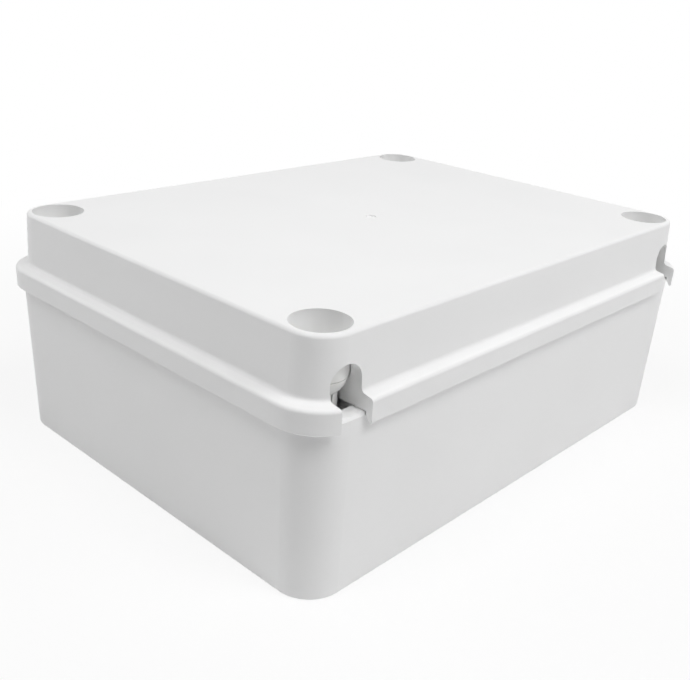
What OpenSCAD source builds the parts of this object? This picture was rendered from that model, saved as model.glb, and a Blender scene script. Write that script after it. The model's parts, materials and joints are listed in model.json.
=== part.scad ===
// Hinged polycarbonate enclosure: a moulded base, a deep lid that is lifted and swung on two
// ball-headed posts, a gasket loop and two captive closing screws.
// Millimetres, +Z up. The origin is the middle of the underside; the hinge side faces -Y.

/* [Lid] */
// Length of the lid's top face
lid_l = 300; // [260:5:340]
// Width of the lid's top face
lid_w = 224.5; // [200:0.5:260]
// Overall height of the closed box
total_h = 120; // [118:1:130]
// Outward lean of the lid's side wall from its top to its foot
lid_draft = 1.2; // [0.6:0.1:1.6]
// Thickness of the lid's wall at its top edge
lid_wall = 2.5; // [2.2:0.1:2.8]
// Thickness of the lid's flat top
lid_roof = 2.8; // [2.2:0.1:3.6]
// Radius of the moulding gate's shallow recess in the top
gate_r = 3; // [2:0.1:4]
// Depth of that recess
gate_d = 0.8; // [0.3:0.1:1]
// Distance of the gate from the middle of the top, towards the front left corner
gate_off = 4.5; // [0:0.5:8]
// Rounding along the lid's top edge
lid_edge_r = 1.8; // [1:0.1:2.2]

/* [Flange] */
// How far the flange stands out past the lid's top face
flange_out = 7.5; // [7.3:0.1:8.5]
// Height of the ledge where it meets the lid's wall
ledge_z = 93.2; // [92.4:0.1:94]
// Drop of the ledge from its root to its outer edge
ledge_drop = 0.9; // [0.6:0.1:1.4]
// Hollow rounding where the ledge meets the lid's wall
ledge_root_r = 2; // [1:0.1:2.4]
// Rounding at the ledge's outer edge
ledge_edge_r = 1.8; // [1:0.1:2]
// Height of the skirt's lower edge
skirt_z = 81.3; // [80.8:0.1:81.8]
// Thickness of the skirt at its lower edge
skirt_edge_t = 1.2; // [1:0.1:1.4]
// Bevel along the skirt's outer lower edge
skirt_bevel = 0.5; // [0.3:0.1:0.7]
// Height below which the skirt thins towards its lower edge
skirt_thin_z = 84; // [83.6:0.1:84.2]

/* [Corner wells] */
// Distance from the lid's sides to the axis of each corner well
well_inset = 15.5; // [15.2:0.1:16.5]
// Radius of a corner well
well_r = 12.85; // [12.6:0.05:13]

/* [Hinge] */
// Height of the ball centres, which is the hinge axis
axis_z = 100.5; // [100:0.1:101]
// Gap between a ball and its seat
ball_gap = 0.35; // [0.25:0.05:0.5]
// Radius of the post below the ball
post_r = 8.2; // [7.6:0.1:8.4]
// Length below the ball centre over which the post has flat sides
flat_l = 34; // [32:0.5:36]
// Half width of the notch that the post's flat sides pass through
notch_r = 7.85; // [7.7:0.05:8]
// Height of the centre of the notch's round top
notch_z = 99.15; // [99:0.05:99.5]
// Radius of the room round the post below its ball
neck_room_r = 9.25; // [9:0.05:9.6]
// Width of the slit that lets the post's foot be squeezed
slit_w = 1; // [0.8:0.1:1.6]
// Height of the slit's upper end
slit_top_z = 92.3; // [91.5:0.1:93]
// Length that the posts draw out of the base as the lid opens
post_stroke = 61.2; // [50:0.1:62]
// Wall left round a post's pocket
pocket_wall = 3.8; // [3.4:0.1:4]
// Radial catch of the barb at the post's foot
barb = 0.8; // [0.6:0.1:0.9]
// Height of the barb
barb_h = 4; // [3:0.5:5]
// Length of the collar that guides each post
collar_l = 7.5; // [6:0.5:9]
// Running gap round a post in its collar
post_fit = 0.06; // [0.04:0.01:0.1]

/* [Screw heads] */
// Height of the heads' flat top above the ball centres
head_rise = 5.2; // [4.5:0.1:6]
// Depth below the ball centres of the groove round a ball and of a closing screw's seat
parting_drop = 2.2; // [1.9:0.1:2.5]
// Width of the groove round a ball
parting_w = 0.5; // [0.3:0.05:0.8]
// Depth of the groove round a ball
parting_d = 0.8; // [0.4:0.1:1]
// Width of the cross recess
drive_w = 2.4; // [1.6:0.1:3]
// Length of the cross recess
drive_l = 14; // [10:0.5:17]
// Bevel at a closing screw's tip
chamfer = 0.8; // [0.4:0.1:1]
// Depth of the cross recess
drive_d = 3; // [2:0.1:4]

/* [Closing screws] */
// Radius of the plain shank
shank_r = 5; // [4.6:0.1:5.2]
// Depth of the thread
thread_d = 0.9; // [0.8:0.05:1]
// Depth of the groove that holds the retaining ring
groove_d = 0.7; // [0.5:0.05:0.8]
// Radius at the root of the thread
thread_root_r = 4.1; // [3.8:0.1:4.2]
// Length of thread inside its insert when closed
thread_hold = 6.7; // [5.5:0.1:6.8]
// Height that a closing screw rises before it is free
screw_rise = 7; // [6.9:0.1:7.4]
// Thickness of the retaining ring
ring_t = 1.4; // [1:0.1:1.6]
// Outer radius of the retaining ring
ring_r = 7.8; // [7:0.1:8]
// Outer radius of the closing insert
insert_r = 7; // [6.5:0.1:7.5]
// Length of the closing insert
insert_l = 11; // [9:0.5:14]

/* [Base] */
// How far the base's rim stands out past the lid's top face
rim_out = 4; // [3.8:0.1:4.1]
// How far the base's foot stands out past the lid's top face
foot_out = 2.2; // [1.6:0.1:2.8]
// Height of the rim's flat top
rim_z = 85.5; // [85.3:0.1:85.7]
// Drop of the rim's sloping outer edge
rim_drop = 1.3; // [1:0.1:1.5]
// Width of the rim's sloping outer edge
rim_slope_w = 0.8; // [0.5:0.1:1]
// Thickness of the wall at the rim
wall = 4.3; // [4.2:0.1:4.5]
// Thickness of the floor
floor_t = 3; // [2.4:0.1:4]
// Rounding along the base's lower edge
foot_r = 1.4; // [0.8:0.1:2]
// Half width of the pocket in the rim round each hinge post
pocket_r = 12.2; // [11.6:0.1:12.4]
// Depth of that pocket
pocket_d = 6; // [5:0.5:7]

/* [Seal] */
// Width of the gasket
gasket_w = 3; // [2.8:0.1:3.2]
// Thickness of the gasket
gasket_t = 2; // [1.6:0.1:2.4]
// Width of the tongue on the base's rim
tongue_w = 1.2; // [1:0.1:1.3]
// Height of the tongue on the base's rim
tongue_h = 1.3; // [1:0.1:1.4]
// Length of the lid's inner lip below the rim
lip_l = 3.2; // [2:0.1:3.6]
// Thickness of the lid's inner lip
lip_t = 1.4; // [1.2:0.1:1.6]
// Rounding where the seal turns in from a wall
seal_bend_r = 3; // [2.5:0.5:4]
// Gap between the lip and the base's wall
lip_gap = 0.8; // [0.6:0.05:0.9]

/* [Fixings] */
// Distance of the wall-fixing holes from the ends of the lid's top
fix_end = 30; // [28:1:50]
// Distance of the wall-fixing holes from the sides of the lid's top
fix_side = 32.25; // [30:0.25:45]
// Radius of a wall-fixing hole
fix_r = 2.75; // [2:0.05:3.2]
// Wall round a fixing hole
fix_boss_t = 3.2; // [2:0.1:4]
// Height of the raised ring round a wall-fixing hole
fix_boss_h = 3; // [2:0.5:5]
// Distance of the plate pillars from the ends of the lid's top
plate_end = 22; // [20:1:40]
// Distance of the plate pillars from the sides of the lid's top
plate_side = 52.25; // [50:0.25:70]
// Height of the plate pillars above the floor
plate_h = 12; // [9:1:20]
// Outer radius of a plate insert
plate_insert_r = 3; // [2.6:0.1:3.4]
// Wall round a plate insert
plate_post_t = 2; // [1.5:0.1:3]
// Length of a plate insert
plate_insert_l = 7; // [5:0.5:8]
// Radius of the thread's bore in a plate insert
plate_bore_r = 1.65; // [1.4:0.05:2]

/* [Fits] */
// Gap that parts keep where they only lie near each other
seat_gap = 0.3; // [0.25:0.05:0.35]
// Side gap of an insert or gasket in its pocket
press_gap = 0.05; // [0.03:0.01:0.1]

/* [Hidden] */
$fn = 96;
over = 1;

// The four well axes, about which every rounded corner is concentric
cx = lid_l / 2 - well_inset;
cy = lid_w / 2 - well_inset;
left = -1;
right = 1;
hinge_side = -1;
far_side = 1;

// Distances out from the well axes
q_lid = well_inset;
q_lid_foot = well_inset + lid_draft;
q_flange = well_inset + flange_out;
q_rim = well_inset + rim_out;
q_foot = well_inset + foot_out;
q_cavity = q_rim - wall;
q_lid_cavity = q_lid - lid_wall;

// The ledge: its lower edge, its slope, the wall's lean, and the rounding between them
ledge_out_z = ledge_z - ledge_drop;
ledge_lean = atan(ledge_drop / (q_flange - ledge_edge_r - q_lid_foot));
wall_lean = atan(lid_draft / (total_h - lid_edge_r - ledge_z));
root_l = ledge_root_r / tan(45 + (ledge_lean + wall_lean) / 2);
root_x = q_lid_foot - root_l * sin(wall_lean) + ledge_root_r * cos(wall_lean);
root_z = ledge_z + root_l * cos(wall_lean) + ledge_root_r * sin(wall_lean);

// Radii round the wells of what turns inside them
block_r = pocket_r + pocket_wall;
q_seal = q_cavity + pocket_wall / 2 + seat_gap / 3;

// Levels of the joint between lid and base
lid_under_z = rim_z + seat_gap;
gasket_z = rim_z + tongue_h + seat_gap;
channel_z = gasket_z + gasket_t;
channel_gap = press_gap;
lip_z = rim_z - lip_l;

// Posts and collars
ball_r = well_r - ball_gap;
pocket_z = rim_z - pocket_d;
collar_z = pocket_z - collar_l;
flat_x = notch_r - ball_gap;
barb_z = collar_z - post_stroke - barb_h - ball_gap;
bore_r = post_r + barb + seat_gap;
bore_z = barb_z - over;

// Closing screws
head_top_z = axis_z + head_rise;
parting_z = axis_z - parting_drop;
head_under_z = parting_z;
seat_z = head_under_z - seat_gap;
insert_top_z = rim_z - seat_gap;
tip_z = insert_top_z - thread_hold;
ring_z = rim_z + seat_gap + ring_t / 3;
web_z = ring_z + ring_t + screw_rise + seat_gap;
ring_room_r = ring_r + seat_gap * 2;
groove_r = shank_r - groove_d;
thread_r = thread_root_r + thread_d;

// Inside of the box
fix_x = lid_l - 2 * fix_end;
fix_y = lid_w - 2 * fix_side;
plate_x = lid_l - 2 * plate_end;
plate_y = lid_w - 2 * plate_side;
fix_boss_r = fix_r + fix_boss_t;
plate_post_r = plate_insert_r + plate_post_t;
plate_top_z = floor_t + plate_h;

// ---- Shared shapes ----

// Sweeps a profile (distance from the well axes, height) round the rounded rectangle
module round_box_sweep() {
    for (sx = [left, right])
        for (sy = [hinge_side, far_side])
            translate([sx * cx, sy * cy, 0])
                rotate([0, 0, sx > 0 ? (sy > 0 ? 0 : 270) : (sy > 0 ? 90 : 180)])
                    rotate_extrude(angle = 90)
                        children();
    for (turn = [0, 180])
        rotate([0, 0, turn]) {
            translate([-cx, cy, 0])
                rotate([90, 0, 90])
                    linear_extrude(2 * cx)
                        children();
            translate([cx, cy, 0])
                rotate([90, 0, 0])
                    linear_extrude(2 * cy)
                        children();
        }
}

// The box between the four well axes that closes a swept solid
module core(z0, z1) {
    translate([-cx, -cy, z0])
        cube([2 * cx, 2 * cy, z1 - z0]);
}

// A rounded rectangle of the given half sizes
module round_rect(hx, hy, r) {
    square([2 * (hx - r), 2 * hy], center = true);
    square([2 * hx, 2 * (hy - r)], center = true);
    for (sx = [left, right])
        for (sy = [hinge_side, far_side])
            translate([sx * (hx - r), sy * (hy - r)])
                circle(r);
}

// The outline inside the walls that passes round the corner wells, q out from the well axes
module inner_outline(q) {
    r = block_r + q_cavity - q;
    bend = seal_bend_r + q - q_cavity;
    round_rect(cx - r, cy + q, bend);
    round_rect(cx + q, cy - r, bend);
    difference() {
        square([2 * cx, 2 * cy], center = true);
        for (sx = [left, right])
            for (sy = [hinge_side, far_side])
                translate([sx * cx, sy * cy])
                    circle(r);
    }
}

// A loop of that outline between two distances, as an upright wall
module inner_loop(q_in, q_out, z0, z1) {
    translate([0, 0, z0])
        linear_extrude(z1 - z0)
            difference() {
                inner_outline(q_out);
                inner_outline(q_in);
            }
}

module inner_prism(q, z0, z1) {
    translate([0, 0, z0])
        linear_extrude(z1 - z0)
            inner_outline(q);
}

// Places its children at the well axis of one corner
module at_corner(side, row) {
    translate([side * cx, row * cy, 0])
        children();
}

module at_four(dx, dy) {
    for (sx = [left, right])
        for (sy = [hinge_side, far_side])
            translate([sx * dx / 2, sy * dy / 2, 0])
                children();
}

// ---- Base ----

// Half section of the base's outside: leaning wall, rounded foot and sloping rim
module base_profile() {
    square([q_foot - foot_r, foot_r]);
    intersection() {
        translate([q_foot - foot_r, foot_r])
            circle(foot_r);
        translate([q_foot - foot_r, 0])
            square(foot_r);
    }
    polygon([
        [0, foot_r],
        [q_foot, foot_r],
        [q_rim, rim_z - rim_drop],
        [q_rim - rim_slope_w, rim_z],
        [0, rim_z]
    ]);
}

// Pocket, collar and bore for a hinge post
module post_cutters(side) {
    at_corner(side, hinge_side) {
        translate([0, 0, pocket_z]) {
            cylinder(r = pocket_r, h = pocket_d + over);
            translate([-pocket_r, -pocket_r, 0])
                cube([2 * pocket_r, pocket_r, pocket_d + over]);
        }
        translate([0, 0, collar_z - over])
            cylinder(r = post_r + post_fit, h = collar_l + 2 * over);
        translate([0, 0, bore_z])
            cylinder(r = bore_r, h = collar_z - bore_z);
    }
}

// Pocket for a closing insert and the drop hole below it
module insert_cutters(side) {
    at_corner(side, far_side) {
        translate([0, 0, insert_top_z - insert_l])
            cylinder(r = insert_r + press_gap, h = insert_l + over);
        translate([0, 0, insert_top_z - 2 * insert_l])
            cylinder(r = thread_r, h = 2 * insert_l);
    }
}

module base() {
    color("gainsboro")
        difference() {
            union() {
                difference() {
                    union() {
                        round_box_sweep()
                            base_profile();
                        core(0, rim_z);
                    }
                    inner_prism(q_cavity, floor_t, rim_z + over);
                    for (side = [left, right]) {
                        post_cutters(side);
                        insert_cutters(side);
                    }
                }
                inner_loop(q_seal - tongue_w / 2, q_seal + tongue_w / 2, rim_z - over, rim_z + tongue_h);
                at_four(fix_x, fix_y)
                    cylinder(r = fix_boss_r, h = floor_t + fix_boss_h);
                at_four(plate_x, plate_y)
                    cylinder(r = plate_post_r, h = plate_top_z);
            }
            at_four(fix_x, fix_y)
                translate([0, 0, -over])
                    cylinder(r = fix_r, h = floor_t + fix_boss_h + 2 * over);
            at_four(plate_x, plate_y)
                translate([0, 0, plate_top_z - plate_insert_l])
                    cylinder(r = plate_insert_r + press_gap, h = plate_insert_l + over);
        }
}

// ---- Lid ----

// Half section of the lid's outside: rounded top edge, leaning wall, ledge and skirt
module lid_profile() {
    polygon([
        [0, lid_under_z],
        [q_rim + seat_gap, lid_under_z],
        [q_rim + seat_gap, skirt_thin_z],
        [q_flange - skirt_edge_t, skirt_z],
        [q_flange - skirt_bevel, skirt_z],
        [q_flange, skirt_z + skirt_bevel],
        [q_flange, ledge_out_z - ledge_edge_r],
        [q_flange - ledge_edge_r, ledge_out_z],
        [q_lid_foot, ledge_z],
        [q_lid, total_h - lid_edge_r],
        [q_lid - lid_edge_r, total_h],
        [0, total_h]
    ]);
    translate([q_flange - ledge_edge_r, ledge_out_z - ledge_edge_r])
        intersection() {
            circle(ledge_edge_r);
            square(ledge_edge_r);
        }
    translate([q_lid - lid_edge_r, total_h - lid_edge_r])
        intersection() {
            circle(lid_edge_r);
            square(lid_edge_r);
        }
    difference() {
        polygon([
            [q_lid_foot - root_l, ledge_z - root_l],
            [q_lid_foot + root_l * cos(ledge_lean), ledge_z - root_l * sin(ledge_lean)],
            [root_x, root_z],
            [q_lid_foot - root_l * sin(wall_lean), ledge_z + root_l * cos(wall_lean)]
        ]);
        translate([root_x, root_z])
            circle(ledge_root_r);
    }
}

// Well with a ball seat, and the notch that lets the post swing out of the side
module hinge_well(side) {
    at_corner(side, hinge_side) {
        rotate_extrude()
            intersection() {
                union() {
                    translate([0, axis_z])
                        circle(well_r);
                    translate([0, axis_z])
                        square([well_r, total_h]);
                    square([neck_room_r, axis_z]);
                }
                square([well_r, total_h + over]);
            }
        rotate([90, 0, 0])
            linear_extrude(q_flange + over)
                union() {
                    translate([0, notch_z])
                        circle(notch_r);
                    translate([-notch_r, lip_z - over])
                        square([2 * notch_r, notch_z - lip_z + over]);
                }
    }
}

// Well with a flat seat, a shank hole and the room that the retaining ring rises in
module closing_well(side) {
    at_corner(side, far_side) {
        translate([0, 0, seat_z])
            cylinder(r = well_r, h = total_h);
        cylinder(r = shank_r + ball_gap, h = total_h);
        cylinder(r = ring_room_r, h = web_z);
    }
}

module lid() {
    color("whitesmoke")
        difference() {
            union() {
                difference() {
                    union() {
                        round_box_sweep()
                            lid_profile();
                        core(lid_under_z, total_h);
                    }
                    inner_prism(q_lid_cavity, lid_under_z - over, total_h - lid_roof);
                    inner_loop(
                        q_seal - gasket_w / 2 - channel_gap,
                        q_seal + gasket_w / 2 + channel_gap,
                        lid_under_z - over,
                        channel_z
                    );
                }
                inner_loop(
                    q_cavity - lip_gap - lip_t,
                    q_cavity - lip_gap,
                    lip_z,
                    lid_under_z + over
                );
            }
            for (side = [left, right]) {
                hinge_well(side);
                closing_well(side);
            }
            rotate([0, 0, 225])
                translate([gate_off, 0, total_h - gate_d])
                    cylinder(r = gate_r, h = gate_d + over);
        }
}

module gasket() {
    color("dimgray")
        inner_loop(q_seal - gasket_w / 2, q_seal + gasket_w / 2, gasket_z, channel_z);
}

// ---- Posts, screws and inserts ----

// Half section of a head: a ball cut flat on top
module head_profile(low_z) {
    intersection() {
        translate([0, axis_z])
            circle(ball_r);
        translate([0, low_z])
            square([ball_r, head_top_z - low_z]);
    }
}

// The neck below a ball: round, with the two flat sides that pass through the notch
module post_neck() {
    translate([0, 0, axis_z - flat_l])
        intersection() {
            cylinder(r = post_r, h = flat_l);
            translate([-flat_x, -post_r - over, 0])
                cube([2 * flat_x, 2 * (post_r + over), flat_l]);
        }
}

module cross_recess() {
    for (turn = [0, 90])
        rotate([0, 0, turn])
            translate([-drive_l / 2, -drive_w / 2, head_top_z - drive_d])
                cube([drive_l, drive_w, drive_d + over]);
}

// Ball-headed post: it slides in the base's collar and its split foot is barbed
module hinge_post() {
    difference() {
        union() {
            rotate_extrude()
                difference() {
                    head_profile(axis_z - ball_r);
                    translate([ball_r - parting_d, parting_z - parting_w / 2])
                        square([parting_d, parting_w]);
                }
            post_neck();
            translate([0, 0, barb_z + barb_h])
                cylinder(r = post_r, h = axis_z - flat_l - barb_z - barb_h);
            translate([0, 0, barb_z])
                cylinder(r1 = post_r - barb, r2 = post_r + barb, h = barb_h);
        }
        cross_recess();
        translate([-slit_w / 2, -post_r - over, barb_z - over])
            cube([slit_w, 2 * (post_r + over), slit_top_z - barb_z + over]);
    }
}

// Captive screw: flat-seated head, plain shank with a ring groove, threaded end
module closing_screw() {
    difference() {
        union() {
            rotate_extrude()
                head_profile(head_under_z);
            translate([0, 0, insert_top_z])
                cylinder(r = shank_r, h = head_under_z - insert_top_z);
            translate([0, 0, tip_z + chamfer])
                cylinder(r = thread_root_r, h = insert_top_z - tip_z);
            translate([0, 0, tip_z])
                cylinder(r1 = thread_root_r - chamfer, r2 = thread_root_r, h = chamfer);
        }
        cross_recess();
        difference() {
            translate([0, 0, ring_z - press_gap])
                cylinder(r = shank_r + over, h = ring_t + 2 * press_gap);
            translate([0, 0, ring_z - over])
                cylinder(r = groove_r, h = ring_t + 2 * over);
        }
    }
}

module retaining_ring() {
    translate([0, 0, ring_z])
        difference() {
            cylinder(r = ring_r, h = ring_t);
            translate([0, 0, -over])
                cylinder(r = groove_r + post_fit, h = ring_t + 2 * over);
        }
}

module closing_insert() {
    translate([0, 0, insert_top_z - insert_l])
        difference() {
            cylinder(r = insert_r, h = insert_l);
            translate([0, 0, -over])
                cylinder(r = thread_r, h = insert_l + 2 * over);
        }
}

module plate_insert() {
    translate([0, 0, plate_top_z - plate_insert_l])
        difference() {
            cylinder(r = plate_insert_r, h = plate_insert_l);
            translate([0, 0, -over])
                cylinder(r = plate_bore_r, h = plate_insert_l + 2 * over);
        }
}

module plate_insert_at(side, row) {
    color("goldenrod")
        translate([side * plate_x / 2, row * plate_y / 2, 0])
            plate_insert();
}

module hinge_post_left() { color("silver") at_corner(left, hinge_side) hinge_post(); }
module hinge_post_right() { color("silver") at_corner(right, hinge_side) hinge_post(); }
module closing_screw_left() { color("silver") at_corner(left, far_side) closing_screw(); }
module closing_screw_right() { color("silver") at_corner(right, far_side) closing_screw(); }
module retaining_ring_left() { color("black") at_corner(left, far_side) retaining_ring(); }
module retaining_ring_right() { color("black") at_corner(right, far_side) retaining_ring(); }
module closing_insert_left() { color("goldenrod") at_corner(left, far_side) closing_insert(); }
module closing_insert_right() { color("goldenrod") at_corner(right, far_side) closing_insert(); }
module plate_insert_hinge_left() { plate_insert_at(left, hinge_side); }
module plate_insert_hinge_right() { plate_insert_at(right, hinge_side); }
module plate_insert_far_left() { plate_insert_at(left, far_side); }
module plate_insert_far_right() { plate_insert_at(right, far_side); }

base();
lid();
gasket();
hinge_post_left();
hinge_post_right();
closing_screw_left();
closing_screw_right();
retaining_ring_left();
retaining_ring_right();
closing_insert_left();
closing_insert_right();
plate_insert_hinge_left();
plate_insert_hinge_right();
plate_insert_far_left();
plate_insert_far_right();
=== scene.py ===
# %% [markdown]
# # A hinged polycarbonate enclosure
# A deep electrical box: a moulded base, a lid that hangs on two ball-headed posts along one
# long side, a foam seal and two captive closing screws. The construction is already made and
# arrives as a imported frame. This lesson gives each piece its finish, cuts the screw threads,
# and sets the camera and a plain studio round it.

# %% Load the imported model
import json
import math

import bmesh
import bpy
from mathutils import Matrix, Vector

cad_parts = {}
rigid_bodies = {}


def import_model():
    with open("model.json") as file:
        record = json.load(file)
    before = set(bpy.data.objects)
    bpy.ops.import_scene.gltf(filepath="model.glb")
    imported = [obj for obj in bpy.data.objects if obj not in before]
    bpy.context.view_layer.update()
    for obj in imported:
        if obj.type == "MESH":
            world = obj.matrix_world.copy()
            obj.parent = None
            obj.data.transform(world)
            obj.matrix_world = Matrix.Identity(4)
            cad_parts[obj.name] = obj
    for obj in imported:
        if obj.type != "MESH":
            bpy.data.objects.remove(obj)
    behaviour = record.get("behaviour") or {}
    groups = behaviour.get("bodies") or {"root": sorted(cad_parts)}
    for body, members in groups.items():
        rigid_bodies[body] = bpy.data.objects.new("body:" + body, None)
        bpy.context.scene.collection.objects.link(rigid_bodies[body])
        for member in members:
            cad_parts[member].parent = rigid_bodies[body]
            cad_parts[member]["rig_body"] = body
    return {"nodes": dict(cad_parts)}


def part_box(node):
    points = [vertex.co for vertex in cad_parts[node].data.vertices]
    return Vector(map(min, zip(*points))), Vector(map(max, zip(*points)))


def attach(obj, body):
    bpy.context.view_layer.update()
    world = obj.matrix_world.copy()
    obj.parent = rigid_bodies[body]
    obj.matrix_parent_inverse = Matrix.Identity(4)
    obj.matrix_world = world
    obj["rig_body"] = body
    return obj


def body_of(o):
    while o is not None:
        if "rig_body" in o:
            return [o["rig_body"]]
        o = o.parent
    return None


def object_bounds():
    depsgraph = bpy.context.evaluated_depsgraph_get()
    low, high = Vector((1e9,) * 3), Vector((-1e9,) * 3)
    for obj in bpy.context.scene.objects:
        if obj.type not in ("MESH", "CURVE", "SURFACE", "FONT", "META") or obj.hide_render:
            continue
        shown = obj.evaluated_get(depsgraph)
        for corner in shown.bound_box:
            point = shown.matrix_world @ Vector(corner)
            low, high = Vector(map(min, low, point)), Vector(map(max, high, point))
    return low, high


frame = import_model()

cad_low, cad_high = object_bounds()
MM = 0.001
nodes = frame["nodes"]
box_middle = (Vector(cad_low) + Vector(cad_high)) / 2


def size_in_mm(low, high):
    return [round((end - start) / MM, 1) for start, end in zip(low, high)]


print("pieces in the frame:", len(nodes), "size in mm:", size_in_mm(cad_low, cad_high))

# %% [markdown]
# ## The camera
# The box is looked at from its front left corner, a little from above, with a slight roll.
# The camera's axes are worked out from three angles, and its place is written in millimetres.
# Shift slides the picture a little without turning the camera.

# %% Place the camera
CAMERA_AZIMUTH = math.radians(-48.437)
CAMERA_ELEVATION = math.radians(23.235)
CAMERA_ROLL = math.radians(3.923)
CAMERA_PLACE = Vector((-363.357, -320.447, 246.402)) * MM
CAMERA_SHIFT = (-0.0205, 0.0127)
SENSOR_WIDTH = 36.0
LENS = 46.512
NEAREST_SEEN = 0.01
FARTHEST_SEEN = 20


def camera_axes(azimuth, elevation, roll):
    back = Vector((
        math.sin(azimuth) * math.cos(elevation),
        -math.cos(azimuth) * math.cos(elevation),
        math.sin(elevation),
    ))
    level = Vector((math.cos(azimuth), math.sin(azimuth), 0))
    upright = back.cross(level)
    right = level * math.cos(roll) + upright * math.sin(roll)
    up = upright * math.cos(roll) - level * math.sin(roll)
    return right, up, back


def make_camera():
    data = bpy.data.cameras.new("studio_camera")
    data.sensor_width = SENSOR_WIDTH
    data.lens = LENS
    data.shift_x, data.shift_y = CAMERA_SHIFT
    data.clip_start = NEAREST_SEEN
    data.clip_end = FARTHEST_SEEN
    camera = bpy.data.objects.new("studio_camera", data)
    bpy.context.collection.objects.link(camera)
    axes = Matrix(camera_axes(CAMERA_AZIMUTH, CAMERA_ELEVATION, CAMERA_ROLL)).transposed()
    camera.matrix_world = Matrix.Translation(CAMERA_PLACE) @ axes.to_4x4()
    bpy.context.scene.camera = camera
    return camera


camera = make_camera()
print("camera at", [round(c / MM) for c in camera.location], "mm")

# %% [markdown]
# ## Small helpers
# Colours are written as sRGB hex values, as a paint chart gives them, and one function turns
# them to the linear numbers that the shader wants. One function adds a shader node with its
# settings and its incoming links. An input that shares its name with others is asked for by
# its number, as in `_6`.

# %% Colour and node helpers
WHITE = (1, 1, 1, 1)


def to_linear(hex_colour):
    channels = [int(hex_colour[i:i + 2], 16) / 255 for i in (1, 3, 5)]
    linear = [c / 12.92 if c <= 0.04045 else ((c + 0.055) / 1.055) ** 2.4 for c in channels]
    return (*linear, 1.0)


def add_node(tree, kind, settings=None, **sockets):
    node = tree.nodes.new(kind)
    for name, value in (settings or {}).items():
        setattr(node, name, value)
    for name, value in sockets.items():
        number = name[1:]
        socket = node.inputs[int(number) if number.isdigit() else name.replace("_", " ")]
        if isinstance(value, bpy.types.NodeSocket):
            tree.links.new(value, socket)
        else:
            socket.default_value = value
    return node


def new_material(name):
    material = bpy.data.materials.new(name)
    material.use_nodes = True
    material.node_tree.nodes.clear()
    return material, material.node_tree


print("half grey in linear light:", round(to_linear("#808080")[0], 3))

# %% [markdown]
# ## Moulded polycarbonate
# Polycarbonate boxes are injection moulded in a steel tool whose faces were spark eroded, so
# the surface is satin: a very fine grain that spreads the highlight. The grain is under a
# tenth of a millimetre on the real part, too fine to show, so it is drawn at 0.5 mm and kept
# faint. The melt also leaves a slow, hardly visible change of tone and of gloss over some
# centimetres. The posts, screws and rings are moulded too, in polyamide and in acetal.

# %% Moulded plastics
GRAIN_MM = 0.5
FLOW_MM = 60.0
GLOSS_CHANGE = 0.03
POLYCARBONATE_IOR = 1.585
POLYAMIDE_IOR = 1.53
ACETAL_IOR = 1.48


def moulded_plastic(name, colour, dark_colour, roughness, ior, grain_depth_mm):
    material, tree = new_material(name)
    place = add_node(tree, "ShaderNodeTexCoord").outputs["Object"]
    flow = add_node(tree, "ShaderNodeTexNoise", Vector=place, Scale=1 / (FLOW_MM * MM), Detail=2.0)
    tone = add_node(
        tree, "ShaderNodeMix", {"data_type": "RGBA"},
        Factor=flow.outputs["Fac"], _6=to_linear(colour), _7=to_linear(dark_colour),
    )
    gloss = add_node(
        tree, "ShaderNodeMapRange", Value=flow.outputs["Fac"],
        To_Min=roughness - GLOSS_CHANGE, To_Max=roughness + GLOSS_CHANGE,
    )
    grain = add_node(tree, "ShaderNodeTexNoise", Vector=place, Scale=1 / (GRAIN_MM * MM), Detail=3.0)
    bump = add_node(
        tree, "ShaderNodeBump",
        Height=grain.outputs["Fac"], Distance=grain_depth_mm * MM, Strength=0.6,
    )
    shader = add_node(
        tree, "ShaderNodeBsdfPrincipled",
        Base_Color=tone.outputs[2], Roughness=gloss.outputs["Result"], IOR=ior,
        Normal=bump.outputs["Normal"],
    )
    add_node(tree, "ShaderNodeOutputMaterial", Surface=shader.outputs["BSDF"])
    return material


box_shell = moulded_plastic(
    "moulded_polycarbonate_shell", "#F6F6F6", "#F2F2F2",
    roughness=0.52, ior=POLYCARBONATE_IOR, grain_depth_mm=0.02,
)
post_white = moulded_plastic(
    "moulded_polyamide_posts", "#F4F4F2", "#EFEFED",
    roughness=0.36, ior=POLYAMIDE_IOR, grain_depth_mm=0.01,
)
ring_black = moulded_plastic(
    "moulded_acetal_rings", "#2A2A2B", "#232324",
    roughness=0.4, ior=ACETAL_IOR, grain_depth_mm=0.01,
)
print("plastics:", box_shell.name, post_white.name, ring_black.name)

# %% [markdown]
# ## Foam seal
# The seal is polyurethane foam poured into the lid's channel, where it rises and sets with a
# thin matt skin. Its cells are about half a millimetre across and dimple that skin.
# The pits of the cells are also drawn darker than the skin round them, which is painted shade in the
# dimples.

# %% Poured foam
CELL_MM = 0.6
CELL_DEPTH_MM = 0.08


def poured_foam(name, colour, pit_shade_colour):
    material, tree = new_material(name)
    place = add_node(tree, "ShaderNodeTexCoord").outputs["Object"]
    cells = add_node(
        tree, "ShaderNodeTexVoronoi", {"feature": "F1"},
        Vector=place, Scale=1 / (CELL_MM * MM),
    )
    # Painted shade: the cell pits take the darker colour, and the skin between them takes the
    # lighter one.
    tone = add_node(
        tree, "ShaderNodeMix", {"data_type": "RGBA"},
        Factor=cells.outputs["Distance"], _6=to_linear(pit_shade_colour), _7=to_linear(colour),
    )
    bump = add_node(
        tree, "ShaderNodeBump",
        Height=cells.outputs["Distance"], Distance=CELL_DEPTH_MM * MM, Strength=0.8,
    )
    shader = add_node(
        tree, "ShaderNodeBsdfPrincipled",
        Base_Color=tone.outputs[2], Roughness=0.9, IOR=1.45, Normal=bump.outputs["Normal"],
    )
    add_node(tree, "ShaderNodeOutputMaterial", Surface=shader.outputs["BSDF"])
    return material


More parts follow.
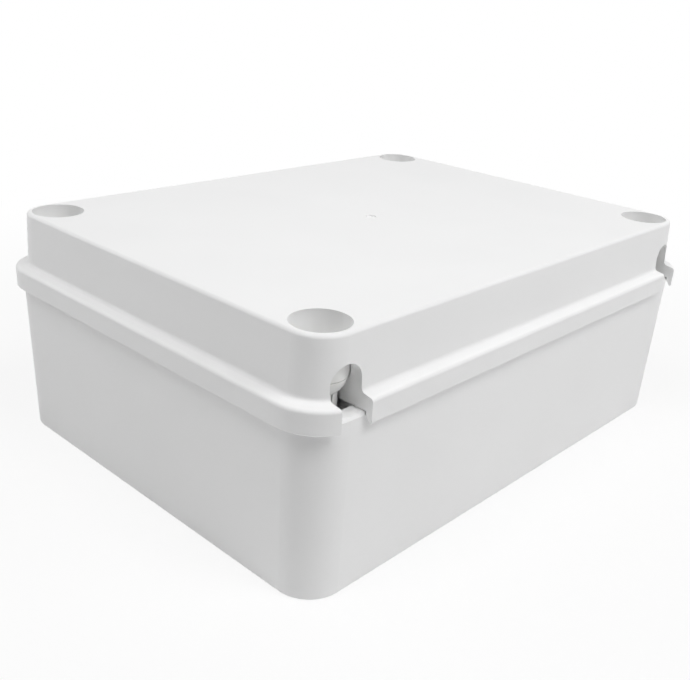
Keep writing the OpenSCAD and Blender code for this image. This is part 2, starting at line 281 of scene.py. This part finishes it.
seal_grey = poured_foam("poured_polyurethane_foam", "#4A4B4D", "#38393B")
print("foam:", seal_grey.name, "with cells of", CELL_MM, "mm")

# %% [markdown]
# ## Turned brass
# The inserts are turned from brass bar. The tool leaves fine rings round the axis, which
# stretch the highlight across them. Real rings lie about 0.2 mm apart, too fine to show, so
# they are drawn at 1.57 mm and shallow. The wave texture runs through 20 radians for each unit
# of its scaled coordinate, so its scale is worked out from that. A metal keeps the default IOR.

# %% Turned brass
TURNING_MM = 1.57
TURNING_DEPTH_MM = 0.01
WAVE_RADIANS = 20
STAIN_MM = 3.0


def turned_brass(name, colour, dull_colour):
    material, tree = new_material(name)
    place = add_node(tree, "ShaderNodeTexCoord").outputs["Object"]
    rings = add_node(
        tree, "ShaderNodeTexWave", {"wave_type": "BANDS", "bands_direction": "Z"},
        Vector=place, Scale=math.tau / (WAVE_RADIANS * TURNING_MM * MM), Distortion=0.5,
    )
    stain = add_node(tree, "ShaderNodeTexNoise", Vector=place, Scale=1 / (STAIN_MM * MM), Detail=3.0)
    tone = add_node(
        tree, "ShaderNodeMix", {"data_type": "RGBA"},
        Factor=stain.outputs["Fac"], _6=to_linear(colour), _7=to_linear(dull_colour),
    )
    bump = add_node(
        tree, "ShaderNodeBump",
        Height=rings.outputs["Fac"], Distance=TURNING_DEPTH_MM * MM, Strength=0.5,
    )
    shader = add_node(
        tree, "ShaderNodeBsdfPrincipled",
        Base_Color=tone.outputs[2], Roughness=0.28, Metallic=1.0, Normal=bump.outputs["Normal"],
    )
    add_node(tree, "ShaderNodeOutputMaterial", Surface=shader.outputs["BSDF"])
    return material


insert_brass = turned_brass("turned_brass_inserts", "#D9B569", "#C49C50")
print("metal:", insert_brass.name, "with rings", TURNING_MM, "mm apart")

# %% [markdown]
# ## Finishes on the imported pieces
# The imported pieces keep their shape. Each only swaps its plain material for the finish of the
# real one, chosen by the words that its name starts with.

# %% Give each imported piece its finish
FINISHES = {
    "base": box_shell,
    "lid": box_shell,
    "gasket": seal_grey,
    "hinge_post": post_white,
    "closing_screw": post_white,
    "retaining_ring": ring_black,
    "closing_insert": insert_brass,
    "plate_insert": insert_brass,
}


def set_finish(piece, material):
    piece.data.materials.clear()
    piece.data.materials.append(material)


for name, piece in nodes.items():
    words = next(words for words in FINISHES if name.startswith(words))
    set_finish(piece, FINISHES[words])
print("finishes set on", len(nodes), "pieces")

# %% [markdown]
# ## Screw threads
# The closing screws and their brass inserts share a coarse thread. It climbs 2 mm a turn,
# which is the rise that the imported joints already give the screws, so the two threads stay in
# mesh as a screw turns. Each thread is one ridge swept along a helix that fades in and out
# over a quarter turn. Its foot and tip are flat, and their half widths are shares of the pitch.
# The foot sinks a little into the piece that carries it. The screw's ridge points outwards and
# the insert's points inwards, half a pitch away.

# %% One helical ridge
PITCH = 2.0
STEPS_PER_TURN = 48
FADE_STEPS = STEPS_PER_TURN // 4
ROOT_SINK = 0.06
HALF_FOOT = 0.42
HALF_TIP = 0.14


def thread_ridge(name, axis, root_r, crest_r, z_low, z_high, phase):
    """One helical ridge between two radii, as a closed mesh. Sizes are in millimetres."""
    foot_r = root_r + math.copysign(ROOT_SINK, root_r - crest_r)
    steps = round((z_high - z_low) / PITCH * STEPS_PER_TURN)
    mesh = bmesh.new()
    rings = []
    for step in range(steps + 1):
        angle = phase + math.tau * step / STEPS_PER_TURN
        z = z_low + PITCH * step / STEPS_PER_TURN
        grown = min(1.0, (min(step, steps - step) + 0.5) / FADE_STEPS)
        tip_r = root_r + (crest_r - root_r) * grown
        section = [
            (foot_r, -HALF_FOOT), (tip_r, -HALF_TIP), (tip_r, HALF_TIP), (foot_r, HALF_FOOT),
        ]
        rings.append([
            mesh.verts.new((
                (axis[0] + r * math.cos(angle)) * MM,
                (axis[1] + r * math.sin(angle)) * MM,
                (z + rise * PITCH) * MM,
            ))
            for r, rise in section
        ])
    for low, high in zip(rings, rings[1:]):
        for i in range(len(low)):
            j = (i + 1) % len(low)
            mesh.faces.new((low[i], low[j], high[j], high[i]))
    mesh.faces.new(rings[0])
    mesh.faces.new(reversed(rings[-1]))
    bmesh.ops.recalc_face_normals(mesh, faces=mesh.faces)
    data = bpy.data.meshes.new(name)
    mesh.to_mesh(data)
    mesh.free()
    piece = bpy.data.objects.new(name, data)
    bpy.context.collection.objects.link(piece)
    return piece


print("a ridge has", STEPS_PER_TURN, "steps a turn and climbs", PITCH, "mm")

# %% [markdown]
# ## Threads on both screws and in both inserts
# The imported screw's end is drawn at the root of its thread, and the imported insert's bore at
# the thread's outer radius, so each ridge starts from the wall that is there. The ridges keep
# clear of the ends of the pieces, where a real thread is chamfered.

# %% Cut the threads
SCREW_ROOT_R, SCREW_CREST_R = 4.1, 4.86
INSERT_ROOT_R, INSERT_CREST_R = 5.0, 4.24
SCREW_END_MARGIN = 1.6
INSERT_END_MARGIN = 1.0
INSERT_TOP_MARGIN = 0.9

for side in ("left", "right"):
    screw, insert = f"closing_screw_{side}", f"closing_insert_{side}"
    screw_low, screw_high = (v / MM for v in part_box(screw))
    insert_low, insert_high = (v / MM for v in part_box(insert))
    axis = ((screw_low.x + screw_high.x) / 2, (screw_low.y + screw_high.y) / 2)
    screw_from = screw_low.z + SCREW_END_MARGIN
    insert_from = insert_low.z + INSERT_END_MARGIN
    thread_top = insert_high.z - INSERT_TOP_MARGIN
    outer = thread_ridge(
        f"screw_thread_{side}", axis, SCREW_ROOT_R, SCREW_CREST_R, screw_from, thread_top, 0.0,
    )
    set_finish(outer, post_white)
    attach(outer, body_of(nodes[screw])[0])
    half_pitch_away = math.tau * ((insert_from - screw_from) / PITCH + 0.5)
    inner = thread_ridge(
        f"insert_thread_{side}", axis, INSERT_ROOT_R, INSERT_CREST_R, insert_from, thread_top,
        half_pitch_away,
    )
    set_finish(inner, insert_brass)
    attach(inner, body_of(nodes[insert])[0])
    print("threads on the", side, "screw and insert, pitch", PITCH, "mm")

# %% [markdown]
# ## The floor and the backdrop
# The camera sees the floor and the backdrop as white, and so do reflections and light that
# passes through a piece. Everything else meets a plain paper floor and a dark world, so the
# background adds no light of its own to the box. Close to the box a small share of the floor's
# paper tone stays in, so that the box keeps its shadow. Farther out that share fades away.

# %% Floor and world
FLOOR_HALF = 40.0
FLOOR_DROP = 0.2 * MM
WHITE_SHARE_AT_BOX = 0.85
FADE_STARTS, FADE_ENDS = 0.22, 0.55


def seen_as_white(tree):
    path = add_node(tree, "ShaderNodeLightPath")
    first = add_node(
        tree, "ShaderNodeMath", {"operation": "MAXIMUM"},
        _0=path.outputs["Is Camera Ray"], _1=path.outputs["Is Glossy Ray"],
    )
    return add_node(
        tree, "ShaderNodeMath", {"operation": "MAXIMUM"},
        _0=first.outputs[0], _1=path.outputs["Is Transmission Ray"],
    ).outputs[0]


def floor_paper():
    material, tree = new_material("studio_floor")
    seen = seen_as_white(tree)
    place = add_node(tree, "ShaderNodeTexCoord").outputs["Object"]
    reach = add_node(tree, "ShaderNodeVectorMath", {"operation": "LENGTH"}, _0=place)
    white_part = add_node(
        tree, "ShaderNodeMapRange", {"interpolation_type": "SMOOTHSTEP"},
        Value=reach.outputs["Value"], From_Min=FADE_STARTS, From_Max=FADE_ENDS,
        To_Min=WHITE_SHARE_AT_BOX, To_Max=1.0,
    )
    share = add_node(
        tree, "ShaderNodeMath", {"operation": "MULTIPLY"},
        _0=seen, _1=white_part.outputs["Result"],
    )
    paper = add_node(tree, "ShaderNodeBsdfDiffuse", Color=to_linear("#F4F4F4"))
    white = add_node(tree, "ShaderNodeEmission", Color=WHITE, Strength=1.0)
    mix = add_node(
        tree, "ShaderNodeMixShader",
        _0=share.outputs[0], _1=paper.outputs[0], _2=white.outputs[0],
    )
    add_node(tree, "ShaderNodeOutputMaterial", Surface=mix.outputs[0])
    return material


def make_floor():
    mesh = bpy.data.meshes.new("studio_floor")
    corners = [
        (x * FLOOR_HALF, y * FLOOR_HALF, -FLOOR_DROP)
        for x, y in ((-1, -1), (1, -1), (1, 1), (-1, 1))
    ]
    mesh.from_pydata(corners, [], [(0, 1, 2, 3)])
    mesh.materials.append(floor_paper())
    floor = bpy.data.objects.new("studio_floor", mesh)
    bpy.context.collection.objects.link(floor)


def make_world():
    world = bpy.data.worlds.new("studio_world")
    bpy.context.scene.world = world
    world.use_nodes = True
    tree = world.node_tree
    tree.nodes.clear()
    white = add_node(tree, "ShaderNodeBackground", Color=WHITE, Strength=seen_as_white(tree))
    add_node(tree, "ShaderNodeOutputWorld", Surface=white.outputs[0])


make_floor()
make_world()
print("floor", 2 * FLOOR_HALF, "m wide,", round(FLOOR_DROP / MM, 1), "mm under the box")

# %% [markdown]
# ## The lamps
# The light is soft and comes from wide square lamps, all aimed at the middle of the box. The
# strongest stands off to the right and lights the long side. Two hang high over the long side
# and over the left end and fall steeply, so the skirt throws a short shadow down the base, and
# a weak one hangs over the middle. The rest fill in from the left, from behind and from beyond
# the right end. None faces the corner towards the camera, which stays the quietest part.

# %% Lamps
LAMPS = {  # each lamp's place in metres, its width in metres and its power in watts
    "over_long_side": ((0.0, -0.8, 1.4), 0.5, 7.5),
    "over_left_end": ((-0.7, 0.0, 1.5), 0.5, 6.9),
    "over_middle": ((0.0, 0.0, 1.2), 0.6, 0.6),
    "right": ((0.6, -1.35, 1.2), 0.9, 9.9),
    "left": ((-1.35, 0.5, 1.1), 0.9, 2.2),
    "behind_left": ((-0.9, 1.5, 0.7), 0.8, 6.2),
    "behind_far_corner": ((0.9, 0.9, 1.2), 0.8, 1.6),
    "beyond_right_end": ((1.6, -0.1, 0.8), 0.8, 2.2),
}


def make_lamp(name, place, width, power):
    data = bpy.data.lights.new(name, "AREA")
    data.shape = "SQUARE"
    data.size = width
    data.energy = power
    lamp = bpy.data.objects.new(name, data)
    lamp.location = place
    lamp.rotation_euler = (box_middle - Vector(place)).to_track_quat("-Z", "Y").to_euler()
    bpy.context.collection.objects.link(lamp)


for name, (place, width, power) in LAMPS.items():
    make_lamp(name, place, width, power)
bpy.context.scene.view_settings.view_transform = "Standard"
print("lamps:", ", ".join(LAMPS))
